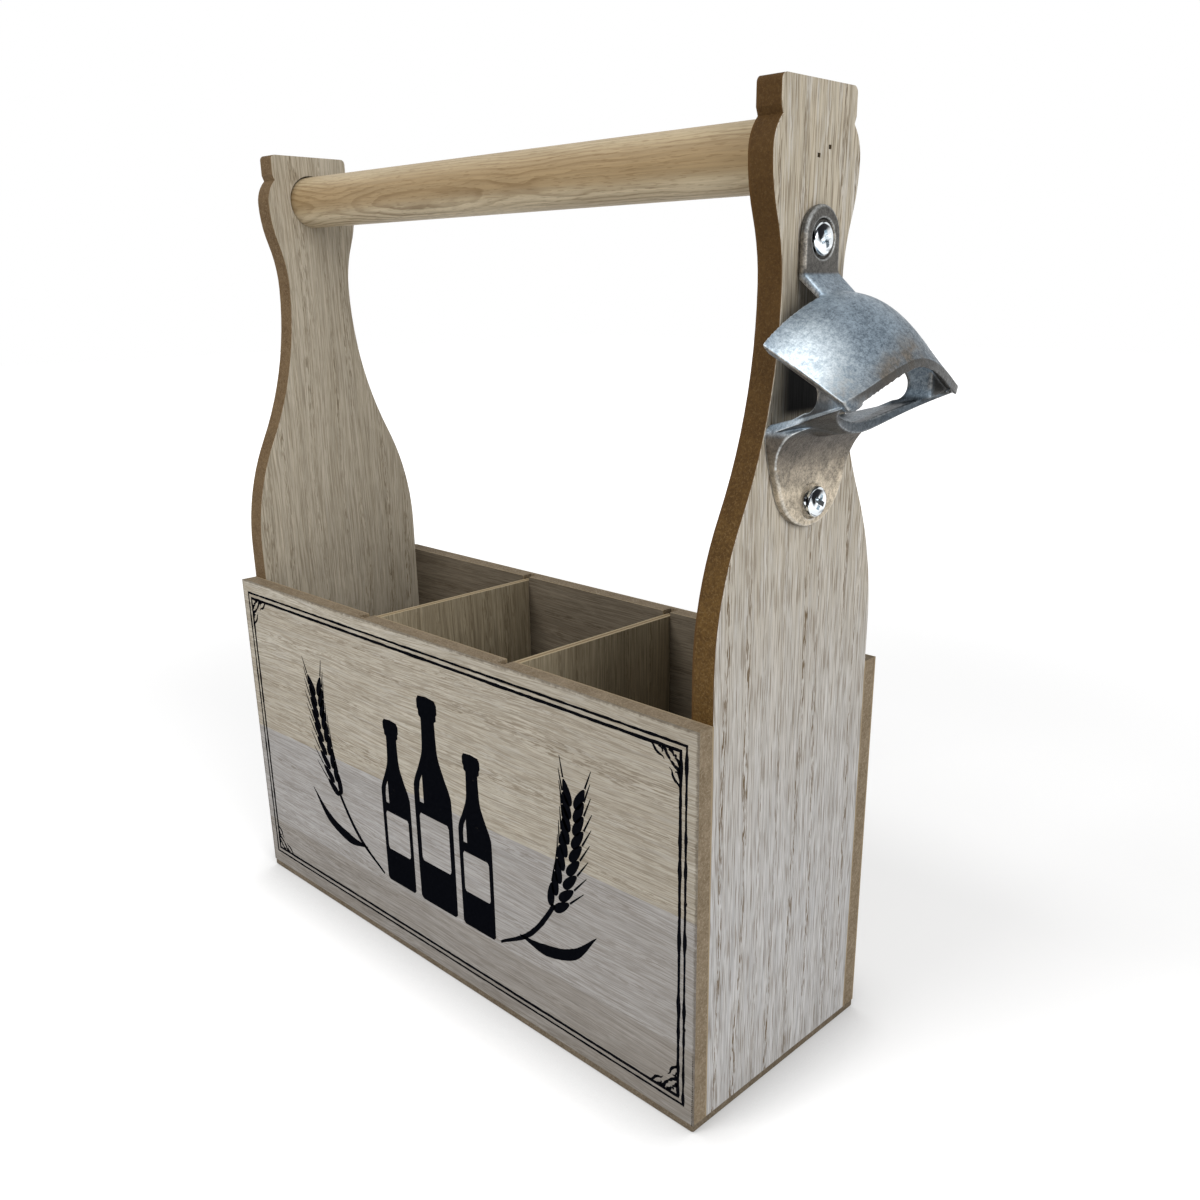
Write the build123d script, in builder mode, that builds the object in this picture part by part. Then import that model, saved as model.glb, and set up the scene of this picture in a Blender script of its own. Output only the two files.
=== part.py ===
from build123d import *
import os
from math import cos, radians, sin

# Sizes are in millimetres. X runs along the handle, the printed front faces -Y,
# the opener hangs on the +X end, and Z is up from the underside of the base.

# Box
box_length = 254.0
box_depth = 91.0
rim_height = 136.5
wall_thickness = 6.6
end_thickness = 8.2
base_thickness = 3.0
base_edge_round = 1.0
veneer_thickness = 0.6

# Bottle-shaped ends, from the top of the body up
shoulder_height = 150.0
neck_rise = 104.0
neck_width = 28.0
ring_rise = 32.0
ring_width = 39.2
waist_rise = 8.5
waist_width = 32.0
lip_rise = 2.0
lip_width = 33.6
lip_length = 7.3
lip_round = 1.8
shoulder_turn_share = 0.42
ring_turn_share = 0.53

# Dividers, which lift out of open-topped grooves
cell_count = 3
divider_thickness = 3.0
divider_drop = 1.5
divider_side_clearance = 0.3
divider_front_gap = 0.4
divider_back_gap = 1.8
groove_depth = 4.4

# Handle in its blind sockets
handle_diameter = 19.0
handle_drop = 16.8
socket_depth = 4.0
socket_clearance = 0.3
handle_rest_gap = 0.05
handle_end_gap = 0.3

# Brads
brad_width = 1.25
brad_gauge = 1.0
brad_length = 19.0
brad_set_depth = 0.5
brad_clearance = 0.05
brad_tip_gap = 0.5
wall_brad_heights = [37.0, 81.0, 125.0]
base_brad_spacing = 95.0
handle_brad_spacing = 5.0
handle_brad_rise = 2.3

# Opener casting, its own heights counted from the top corners of its lower plate
opener_drop = 85.8
casting_thickness = 2.8
casting_edge = 0.6
tab_back_edge = 0.9
tab_width = 16.0
tab_top = 56.0
bend_height = 39.0
bend_round = 2.0
neck_reach = 11.0
neck_foot = 31.9
neck_root = 1.6
hood_reach = 34.0
hood_corner_reach = 30.0
hood_back_reach = 5.0
hood_back_bow = 3.5
hood_half_width = 29.0
hood_height = 34.6
hood_thickness = 2.6
hood_edge_thickness = 2.1
hood_sections_shares = [
    (0.06, 1.0, 0.665, 0.76),
    (0.235, 0.991, 0.578, 0.76),
    (0.382, 0.975, 0.503, 0.74),
    (0.529, 0.935, 0.428, 0.72),
    (0.676, 0.86, 0.353, 0.67),
    (0.824, 0.745, 0.277, 0.6),
    (0.95, 0.585, 0.222, 0.58),
    (1.06, 0.44, 0.175, 0.56),
]
plate_half_width = 20.9
plate_bottom_radius = 16.0
plate_turn = 24.0
plate_corner_round = 3.0
plate_drop = 30.2
plate_dish_depth = 0.7
plate_rim_width = 2.6
cup_reach = 17.5
cup_overreach_share = 1.06
cup_edge_inset = 1.6
cup_flank_share = 0.58
cup_back_half_width = 19.4
cup_back_edge = 0.0
cup_back_edge_height = 2.8
cup_back_floor = -2.0
cup_back_keel = -5.0
cup_corner_half_width = 28.4
cup_corner_edge = 7.9
cup_corner_edge_height = 0.7
cup_corner_floor = 2.6
cup_corner_keel = -0.6
root_drop = 12.0
root_bend_reach = 6.9
root_bend_drop = 3.8
root_reach = 16.0
root_rise = 0.5
root_top = 1.5
web_reach = 14.5
web_foot_reach = 9.5
web_foot_height = 2.4
web_inner = 20.0
web_outer = 26.4
web_front_reach = 23.0
web_inset = 0.4
web_rise = 1.2
web_notch_radius = 4.4
web_notch_height = 9.0

# Opener screws
screw_shank_diameter = 4.0
screw_length = 9.4
screw_tip_length = 3.0
screw_head_diameter = 8.8
screw_head_height = 1.9
screw_head_side = 0.7
screw_head_round = 2.0
screw_seat_depth = 1.0
screw_seat_clearance = 0.7
screw_hole_clearance = 0.3
pilot_clearance = 0.05
upper_screw_drop = 0.7
upper_screw_lift = 0.0
lower_screw_rise = 7.4
lower_screw_lift = 1.9

overrun = 5.0

# Worked out from the sizes above
neck_height = shoulder_height + neck_rise
ring_height = neck_height + ring_rise
waist_height = ring_height + waist_rise
lip_height = waist_height + lip_rise
end_height = lip_height + lip_length
opener_height = end_height - opener_drop
upper_screw_height = tab_top - tab_width / 2 - upper_screw_drop
lower_screw_height = lower_screw_rise - plate_drop
wall_height = rim_height - base_thickness
inner_depth = box_depth - 2 * wall_thickness
inner_length = box_length - 2 * end_thickness
cell_length = (inner_length - (cell_count - 1) * divider_thickness) / cell_count
divider_places = [
    -inner_length / 2 + n * (cell_length + divider_thickness) - divider_thickness / 2
    for n in range(1, cell_count)
]
groove_width = divider_thickness + 2 * divider_side_clearance
handle_height = end_height - handle_drop
socket_radius = handle_diameter / 2 + socket_clearance

front_face = Plane(origin=(0, -box_depth / 2, 0), x_dir=(1, 0, 0), z_dir=(0, -1, 0))
back_face = Plane(origin=(0, box_depth / 2, 0), x_dir=(-1, 0, 0), z_dir=(0, 1, 0))
left_face = Plane(origin=(-box_length / 2, 0, 0), x_dir=(0, -1, 0), z_dir=(-1, 0, 0))
right_face = Plane(origin=(box_length / 2, 0, 0), x_dir=(0, 1, 0), z_dir=(1, 0, 0))
under_face = Plane(origin=(0, 0, 0), x_dir=(1, 0, 0), z_dir=(0, 0, -1))
opener_face = Plane(origin=(box_length / 2, 0, opener_height), x_dir=(0, 1, 0), z_dir=(1, 0, 0))
opener_side = Plane(origin=(box_length / 2, 0, opener_height), x_dir=(1, 0, 0), z_dir=(0, -1, 0))

os.makedirs("parts", exist_ok=True)


def save(part, name):
    part.label = name
    export_step(part, f"parts/{name}.step")


def posts(face, places, profile, near, far):
    # Straight posts of one profile square to a face, from depth near to depth far below it.
    with BuildPart() as group:
        with BuildSketch(face.offset(-near)):
            with Locations(*places):
                add(profile)
        extrude(amount=near - far)
    return group.part


# Brads
end_middle = (box_length - end_thickness) / 2
wall_middle = (box_depth - wall_thickness) / 2
wall_brad_places = [(side * end_middle, z) for side in (-1, 1) for z in wall_brad_heights]
base_brad_places = [
    (n * base_brad_spacing, side * wall_middle) for n in (-1, 0, 1) for side in (-1, 1)
]
handle_brad_places = [
    (0, handle_height - handle_brad_rise / 2),
    (handle_brad_spacing, handle_height + handle_brad_rise / 2),
]
brad_sets = {
    "front_panel_brads": (front_face, wall_brad_places),
    "back_panel_brads": (back_face, wall_brad_places),
    "left_handle_brads": (left_face, handle_brad_places),
    "right_handle_brads": (right_face, handle_brad_places),
    "base_brads": (under_face, base_brad_places),
}
brad_end = brad_set_depth + brad_length
brad_wire = Rectangle(brad_width, brad_gauge)
brad_hole = Rectangle(brad_width + 2 * brad_clearance, brad_gauge + 2 * brad_clearance)
brad_holes = {}
for name, (face, places) in brad_sets.items():
    save(posts(face, places, brad_wire, brad_set_depth, brad_end), name)
    brad_holes[name] = posts(face, places, brad_hole, -overrun, brad_end + brad_tip_gap)

# Base
with BuildPart() as base_panel:
    with BuildSketch(Plane.XY):
        Rectangle(box_length, box_depth)
    extrude(amount=base_thickness)
    fillet(base_panel.edges().filter_by(Axis.Z), radius=base_edge_round)
    fillet(base_panel.faces().sort_by(Axis.Z)[0].edges(), radius=base_edge_round)
    add(brad_holes["base_brads"], mode=Mode.SUBTRACT)
save(base_panel.part, "base_panel")


def layers(thickness):
    # The skins and core of a sheet, as name, near depth and far depth.
    return [
        ("outer_veneer", 0, veneer_thickness),
        ("core", veneer_thickness, thickness - veneer_thickness),
        ("inner_veneer", thickness - veneer_thickness, thickness),
    ]


# Front and back walls, which cover the edges of the ends
for wall_name, face in (("front_panel", front_face), ("back_panel", back_face)):
    for layer_name, near, far in layers(wall_thickness):
        with BuildPart() as wall_layer:
            with BuildSketch(face.offset(-near)):
                with Locations((0, base_thickness + wall_height / 2)):
                    Rectangle(box_length, wall_height)
            extrude(amount=near - far)
            with BuildSketch(face.offset(-wall_thickness)):
                with Locations(*[(x, base_thickness + wall_height / 2) for x in divider_places]):
                    Rectangle(groove_width, wall_height + 2 * overrun)
            extrude(amount=groove_depth, mode=Mode.SUBTRACT)
            add(brad_holes[f"{wall_name}_brads"], mode=Mode.SUBTRACT)
            if layer_name == "core":
                add(brad_holes["base_brads"], mode=Mode.SUBTRACT)
        save(wall_layer.part, f"{wall_name}_{layer_name}")


half_box = inner_depth / 2
half_neck = neck_width / 2
half_ring = ring_width / 2
half_waist = waist_width / 2
half_lip = lip_width / 2
shoulder_turn = (
    half_box - shoulder_turn_share * (half_box - half_neck),
    shoulder_height + shoulder_turn_share * neck_rise,
)
ring_turn = (
    half_neck + ring_turn_share * (half_ring - half_neck),
    neck_height + ring_turn_share * ring_rise,
)
up = (0, 1)
down = (0, -1)
with BuildSketch() as end_outline:
    with BuildLine():
        Line((0, base_thickness), (half_box, base_thickness))
        Line((half_box, base_thickness), (half_box, shoulder_height))
        TangentArc((half_box, shoulder_height), shoulder_turn, tangent=up)
        TangentArc((half_neck, neck_height), shoulder_turn, tangent=down)
        TangentArc((half_neck, neck_height), ring_turn, tangent=up)
        TangentArc((half_ring, ring_height), ring_turn, tangent=down)
        TangentArc((half_ring, ring_height), (half_waist, waist_height), tangent=up)
        Line((half_waist, waist_height), (half_lip, lip_height))
        Line((half_lip, lip_height), (half_lip, end_height))
        Line((half_lip, end_height), (0, end_height))
        Line((0, end_height), (0, base_thickness))
    make_face()
    mirror(about=Plane.YZ)
    fillet(end_outline.vertices().group_by(Axis.Y)[-1], radius=lip_round)

# Ends, drilled for the handle and, on the right, for the opener's screws
screw_places = [(0, opener_height + z) for z in (upper_screw_height, lower_screw_height)]
pilot_depth = screw_length - casting_thickness + screw_seat_depth + pilot_clearance
pilot_hole = Circle(screw_shank_diameter / 2 + pilot_clearance)
pilot_holes = posts(right_face, screw_places, pilot_hole, -overrun, pilot_depth)
for end_name, face in (("left_end", left_face), ("right_end", right_face)):
    socket_floor = end_thickness - socket_depth
    socket = posts(
        face, [(0, handle_height)], Circle(socket_radius), socket_floor, end_thickness + overrun
    )
    for layer_name, near, far in layers(end_thickness):
        with BuildPart() as end_layer:
            with BuildSketch(face.offset(-near)):
                add(end_outline.sketch)
            extrude(amount=near - far)
            add(socket, mode=Mode.SUBTRACT)
            for holes in brad_holes.values():
                add(holes, mode=Mode.SUBTRACT)
            if end_name == "right_end":
                add(pilot_holes, mode=Mode.SUBTRACT)
        save(end_layer.part, f"{end_name}_{layer_name}")

# Dividers, standing on the base
divider_top = rim_height - divider_drop
divider_front = -inner_depth / 2 - groove_depth + divider_front_gap
divider_back = inner_depth / 2 + groove_depth - divider_back_gap
for name, x in zip(("left_divider", "right_divider"), divider_places):
    with BuildPart() as divider:
        with BuildSketch(Plane.XY.offset(base_thickness)):
            with Locations((x, (divider_front + divider_back) / 2)):
                Rectangle(divider_thickness, divider_back - divider_front)
        extrude(amount=divider_top - base_thickness)
    save(divider.part, name)

# Handle, resting on the bottom of its sockets
handle_drilling = [brad_holes["left_handle_brads"], brad_holes["right_handle_brads"]]
handle_length = inner_length + 2 * (socket_depth - handle_end_gap)
with BuildPart() as handle_dowel:
    with BuildSketch(Plane.YZ):
        with Locations((0, handle_height - socket_clearance + handle_rest_gap)):
            Circle(handle_diameter / 2)
    extrude(amount=handle_length / 2, both=True)
    for holes in handle_drilling:
        add(holes, mode=Mode.SUBTRACT)
save(handle_dowel.part, "handle_dowel")


def bow_radius(half_chord, bow):
    return (half_chord**2 + bow**2) / (2 * bow)


def bowed_line(half_width, end, middle, flank_share):
    # Points of an even curve across the opener, from its left end over its middle.
    flank = end + flank_share * (middle - end)
    return [
        (-half_width, end),
        (-half_width / 2, flank),
        (0, middle),
        (half_width / 2, flank),
        (half_width, end),
    ]


def level_line(line, height):
    # A level line as wide as a bowed one.
    return [(y, height) for y, _ in line]


def slice_between(reach, top, bottom):
    # An upright slice of the opener between two bowed lines.
    with BuildSketch(opener_face.offset(reach)) as piece:
        with BuildLine():
            Spline(*top)
            Line(top[-1], bottom[-1])
            Spline(*bottom)
            Line(bottom[0], top[0])
        make_face()
    return piece.sketch


def hood_lines(reach_share, crest_share, side_share, flank_share, inset):
    # The hood's upper and lower lines at one reach, drawn in from its skin by an inset.
    crest = crest_share * hood_height
    side = side_share * hood_height
    top = bowed_line(hood_half_width - inset, side - inset, crest - inset, flank_share)
    bottom = bowed_line(
        hood_half_width - hood_edge_thickness,
        side - hood_edge_thickness,
        crest - hood_thickness,
        flank_share,
    )
    return top, bottom


def cup_lines(reach, inset):
    # The cup's upper and lower lines at one reach, the lower one drawn in by an inset.
    along = reach / hood_corner_reach
    half_width = cup_back_half_width + along * (cup_corner_half_width - cup_back_half_width)
    edge = cup_back_edge + along * (cup_corner_edge - cup_back_edge)
    height = cup_back_edge_height + along * (cup_corner_edge_height - cup_back_edge_height)
    floor = cup_back_floor + along * (cup_corner_floor - cup_back_floor)
    keel = cup_back_keel + along * (cup_corner_keel - cup_back_keel)
    top = bowed_line(half_width - cup_edge_inset, edge, floor, cup_flank_share)
    bottom = bowed_line(half_width - inset, edge - height + inset, keel + inset, cup_flank_share)
    return top, bottom


def disc(radius, middle_reach):
    # A tall round block seen from above, its middle at a reach from the wall.
    base = Plane(origin=(box_length / 2, 0, opener_height - 2 * hood_height), z_dir=(0, 0, 1))
    with BuildPart() as block:
        with BuildSketch(base):
            with Locations((middle_reach, 0)):
                Circle(radius)
        extrude(amount=4 * hood_height)
    return block.part


back_radius = bow_radius(hood_half_width, hood_back_bow)
front_radius = bow_radius(hood_half_width, hood_reach - hood_corner_reach)
lip_radius = bow_radius(cup_corner_half_width, hood_corner_reach - cup_reach)
back_disc = disc(back_radius, hood_back_reach + hood_back_bow - back_radius)
front_disc = disc(front_radius, hood_reach - front_radius)
lip_disc = disc(lip_radius, cup_reach + lip_radius)
web_radius = bow_radius(cup_corner_half_width, hood_corner_reach - web_front_reach)
web_disc = disc(web_radius, web_front_reach + web_radius)

# Opener hood, a bowed sheet falling away from the wall
with BuildPart() as hood:
    for shares in hood_sections_shares:
        top, bottom = hood_lines(*shares, 0)
        add(slice_between(shares[0] * hood_reach, top, bottom))
    loft()
    add(back_disc, mode=Mode.SUBTRACT)
    add(front_disc, mode=Mode.INTERSECT)

# Opener cup, a hollowed shelf rising to the hood's corners
with BuildPart() as cup:
    for reach in (0, cup_overreach_share * hood_reach):
        top, bottom = cup_lines(reach, 0)
        add(slice_between(reach, top, bottom))
    loft(ruled=True)
    add(lip_disc, mode=Mode.SUBTRACT)
    add(front_disc, mode=Mode.INTERSECT)

# Webs that close the hood's corners onto the cup, held within the skins of both
tall = 4 * hood_height
with BuildPart() as under_hood:
    for shares in hood_sections_shares:
        top, _ = hood_lines(*shares, web_inset)
        add(slice_between(shares[0] * hood_reach, top, level_line(top, -tall)))
    loft()
with BuildPart() as over_cup:
    for reach in (0, cup_overreach_share * hood_reach):
        _, bottom = cup_lines(reach, web_rise)
        add(slice_between(reach, level_line(bottom, tall), bottom))
    loft(ruled=True)
with BuildPart() as webs:
    add(under_hood.part)
    add(over_cup.part, mode=Mode.INTERSECT)
    with BuildSketch(opener_side):
        with BuildLine():
            Polyline(
                (web_reach, 2 * hood_height),
                (2 * hood_reach, 2 * hood_height),
                (2 * hood_reach, -2 * hood_height),
                (web_foot_reach, -2 * hood_height),
                (web_foot_reach, web_foot_height),
                (web_reach, web_notch_height - web_notch_radius),
                close=True,
            )
        make_face()
        with Locations((web_reach, web_notch_height)):
            Circle(web_notch_radius, mode=Mode.SUBTRACT)
    extrude(amount=web_outer, both=True, mode=Mode.INTERSECT)
    with BuildSketch(opener_side):
        Rectangle(3 * hood_reach, 4 * hood_height)
    extrude(amount=web_inner, both=True, mode=Mode.SUBTRACT)
    add(web_disc, mode=Mode.SUBTRACT)
    add(front_disc, mode=Mode.INTERSECT)

# Lower plate, flat on the wall and dished towards the cup
plate_centre = plate_bottom_radius - plate_drop
turn = radians(plate_turn)
plate_turn_point = (
    plate_bottom_radius * cos(turn),
    plate_centre - plate_bottom_radius * sin(turn),
)
with BuildSketch() as plate_outline:
    with BuildLine():
        Line((0, 0), (plate_half_width, 0))
        TangentArc(plate_turn_point, (plate_half_width, 0), tangent=(sin(turn), cos(turn)))
        CenterArc((0, plate_centre), plate_bottom_radius, -plate_turn, plate_turn - 90)
        Line((0, -plate_drop), (0, 0))
    make_face()
    mirror(about=Plane.YZ)
with BuildPart() as dish:
    with BuildSketch(opener_face):
        add(plate_outline.sketch)
        offset(amount=-plate_rim_width, mode=Mode.REPLACE)
    extrude(amount=2 * casting_thickness)
    with BuildSketch(opener_side):
        with BuildLine():
            Polyline(
                (casting_thickness - plate_dish_depth, 0),
                (casting_thickness + overrun, 0),
                (casting_thickness + overrun, -plate_drop),
                (casting_thickness, -plate_drop),
                close=True,
            )
        make_face()
    extrude(amount=plate_half_width, both=True, mode=Mode.INTERSECT)
with BuildPart() as plate:
    with BuildSketch(opener_face) as plate_face:
        add(plate_outline.sketch)
        fillet(plate_face.vertices().group_by(Axis.Y)[-1], radius=plate_corner_round)
    extrude(amount=casting_thickness)
    chamfer(plate.faces().sort_by(Axis.X)[-1].edges(), length=casting_edge)
    add(dish.part, mode=Mode.SUBTRACT)

# Root that carries the cup, swept out of the plate in a hollow curve
with BuildPart() as root:
    with BuildSketch(opener_side):
        with BuildLine():
            ThreePointArc(
                (casting_thickness, -root_drop),
                (root_bend_reach, -root_bend_drop),
                (root_reach, root_rise),
            )
            Polyline(
                (root_reach, root_rise),
                (root_reach, root_top),
                (0, -root_rise),
                (0, -root_drop),
                (casting_thickness, -root_drop),
            )
        make_face()
    extrude(amount=plate_half_width, both=True)
    with BuildSketch(opener_face):
        add(plate_face.sketch_local)
    extrude(amount=root_reach, mode=Mode.INTERSECT)

# Upper tab, bent out at its foot to carry the hood
tab_round_centre = tab_top - tab_width / 2
with BuildPart() as tab:
    with BuildSketch(opener_side):
        with BuildLine():
            Polyline(
                (0, tab_round_centre),
                (casting_thickness, tab_round_centre),
                (casting_thickness, bend_height),
                (neck_reach, neck_foot),
                (neck_reach - neck_root, neck_foot - neck_root),
                (0, bend_height - casting_thickness / 2),
                close=True,
            )
        bent = make_face()
        bends = bent.vertices().sort_by_distance((casting_thickness, bend_height, 0))
        fillet(bends[0], radius=bend_round)
    extrude(amount=tab_width / 2, both=True)
    with BuildSketch(opener_face):
        with Locations((0, tab_round_centre)):
            Circle(tab_width / 2)
    extrude(amount=casting_thickness)
    tab_faces = tab.faces().filter_by(Axis.X).sort_by(Axis.X)
    chamfer(tab_faces[-1].edges().filter_by(GeomType.CIRCLE), length=casting_edge)
    chamfer(tab_faces[0].edges().filter_by(GeomType.CIRCLE), length=tab_back_edge)

with BuildPart() as bottle_opener:
    for piece in (plate, root, tab, cup, webs, hood):
        add(piece.part)
    with BuildSketch(opener_face):
        with Locations((0, upper_screw_height), (0, lower_screw_height)):
            Circle(screw_shank_diameter / 2 + screw_hole_clearance)
    extrude(amount=casting_thickness + overrun, mode=Mode.SUBTRACT)
    with BuildSketch(opener_face.offset(casting_thickness - screw_seat_depth)):
        with Locations((0, upper_screw_height), (0, lower_screw_height)):
            Circle(screw_head_diameter / 2 + screw_seat_clearance)
    extrude(amount=screw_seat_depth, mode=Mode.SUBTRACT)
save(bottle_opener.part, "bottle_opener")

# Screws that hold the opener, the lower one not driven quite home
screw_seat = box_length / 2 + casting_thickness - screw_seat_depth
head_radius = screw_head_diameter / 2
for name, z, lift in (
    ("upper_opener_screw", upper_screw_height, upper_screw_lift),
    ("lower_opener_screw", lower_screw_height, lower_screw_lift),
):
    seat = Plane(origin=(screw_seat + lift, 0, opener_height + z), x_dir=(1, 0, 0), z_dir=(0, -1, 0))
    with BuildPart() as screw:
        with BuildSketch(seat):
            with BuildLine():
                Polyline(
                    (screw_head_height, 0),
                    (-screw_length, 0),
                    (screw_tip_length - screw_length, screw_shank_diameter / 2),
                    (0, screw_shank_diameter / 2),
                    (0, head_radius),
                    (screw_head_side, head_radius),
                    (screw_head_height, head_radius - screw_head_round),
                    close=True,
                )
            make_face()
        revolve(axis=Axis(seat.origin, seat.x_dir))
    save(screw.part, name)
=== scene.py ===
import math
import random

import bmesh
import bpy
import numpy as np
from mathutils import Matrix, Vector


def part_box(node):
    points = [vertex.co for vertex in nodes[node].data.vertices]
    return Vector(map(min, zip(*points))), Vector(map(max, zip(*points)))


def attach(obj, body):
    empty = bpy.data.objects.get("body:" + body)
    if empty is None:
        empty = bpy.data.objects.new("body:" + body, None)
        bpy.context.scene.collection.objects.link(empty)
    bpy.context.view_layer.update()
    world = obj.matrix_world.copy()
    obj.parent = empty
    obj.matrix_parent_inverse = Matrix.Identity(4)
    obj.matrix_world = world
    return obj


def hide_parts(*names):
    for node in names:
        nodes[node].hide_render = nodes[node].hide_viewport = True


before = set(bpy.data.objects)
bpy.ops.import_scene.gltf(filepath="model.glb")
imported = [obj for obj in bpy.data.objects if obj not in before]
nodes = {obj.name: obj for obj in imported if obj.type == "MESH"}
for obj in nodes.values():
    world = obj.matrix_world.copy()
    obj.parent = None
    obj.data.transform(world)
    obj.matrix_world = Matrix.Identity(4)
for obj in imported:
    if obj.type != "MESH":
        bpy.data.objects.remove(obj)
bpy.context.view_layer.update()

# one millimetre in metres
mm = 0.001
print("frame loaded,", len(nodes), "nodes")


def put(tree, kind, inputs=None, **props):
    node = tree.nodes.new(kind)
    for name, value in props.items():
        setattr(node, name, value)
    for key, value in (inputs or {}).items():
        plug(tree, node.inputs[key], value)
    return node


def plug(tree, socket, value):
    # a socket is linked, anything else becomes the socket's own value
    if isinstance(value, bpy.types.NodeSocket):
        tree.links.new(value, socket)
    else:
        socket.default_value = value


def paint(red, green, blue):
    # screen colour from 0 to 255, turned into the linear colour that a socket wants
    def linear(c):
        c = c / 255
        return c / 12.92 if c <= 0.04045 else ((c + 0.055) / 1.055) ** 2.4
    return (linear(red), linear(green), linear(blue), 1.0)


def calc(tree, operation, *values, clamp=False):
    # a third value meets the result of the first two, and so on
    result, *others = values
    for other in others or (0.0,):
        node = put(tree, "ShaderNodeMath", {0: result, 1: other}, operation=operation, use_clamp=clamp)
        result = node.outputs[0]
    return result


def times(tree, *values):
    return calc(tree, "MULTIPLY", *values)


def plus(tree, *values):
    return calc(tree, "ADD", *values)


def minus(tree, a, b):
    return calc(tree, "SUBTRACT", a, b)


def flip(tree, mask):
    return minus(tree, 1.0, mask)


def most(tree, *values):
    return calc(tree, "MAXIMUM", *values)


def unsigned(tree, value):
    return calc(tree, "ABSOLUTE", value)


def spread(tree, value, low, high, toLow=0.0, toHigh=1.0):
    # stretches low..high of a value to a new range, clamped
    node = put(tree, "ShaderNodeMapRange", {
        "Value": value, "From Min": low, "From Max": high, "To Min": toLow, "To Max": toHigh,
    }, interpolation_type="SMOOTHSTEP")
    return node.outputs["Result"]


def fall(tree, value, low, high):
    # 1 below the range and 0 above it
    return spread(tree, value, low, high, 1.0, 0.0)


def band(tree, value, start, end):
    # 1 between two ranges, over which it rises and falls
    return times(tree, spread(tree, value, *start), fall(tree, value, *end))


def blend(tree, factor, a, b):
    return put(tree, "ShaderNodeMix", {0: factor, 6: a, 7: b}, data_type="RGBA").outputs[2]


def vectorMath(tree, operation, a, b):
    second = "Scale" if operation == "SCALE" else 1
    return put(tree, "ShaderNodeVectorMath", {0: a, second: b}, operation=operation).outputs["Vector"]


def inMillimetres(tree, vector):
    return vectorMath(tree, "SCALE", vector, 1000.0)


def split(tree, vector):
    return put(tree, "ShaderNodeSeparateXYZ", {"Vector": vector}).outputs


def join(tree, x=0.0, y=0.0, z=0.0):
    return put(tree, "ShaderNodeCombineXYZ", {"X": x, "Y": y, "Z": z}).outputs["Vector"]


def stretch(tree, vector, scale, offset=(0, 0, 0)):
    node = put(tree, "ShaderNodeMapping", {"Vector": vector, "Scale": scale, "Location": offset})
    return node.outputs["Vector"]


def noise(tree, vector, scale=1.0, detail=2.0, roughness=0.5):
    node = put(tree, "ShaderNodeTexNoise", {
        "Vector": vector, "Scale": scale, "Detail": detail, "Roughness": roughness})
    return node.outputs["Fac"]


def drawnOut(tree, vector, scale, detail=2.0, roughness=0.5, offset=(0, 0, 0)):
    # noise with its own scale along each axis, as grain has
    return noise(tree, stretch(tree, vector, scale, offset), 1.0, detail, roughness)


def newGroup(name, takes, gives):
    # takes and gives name the sockets, each with its kind: vector, float or colour
    tree = bpy.data.node_groups.new(name, "ShaderNodeTree")
    kinds = {"v": "NodeSocketVector", "f": "NodeSocketFloat", "c": "NodeSocketColor"}
    for way, sockets in (("INPUT", takes), ("OUTPUT", gives)):
        for label, kind in sockets.items():
            tree.interface.new_socket(name=label, in_out=way, socket_type=kinds[kind])
    return tree, tree.nodes.new("NodeGroupInput").outputs, tree.nodes.new("NodeGroupOutput").inputs


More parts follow.
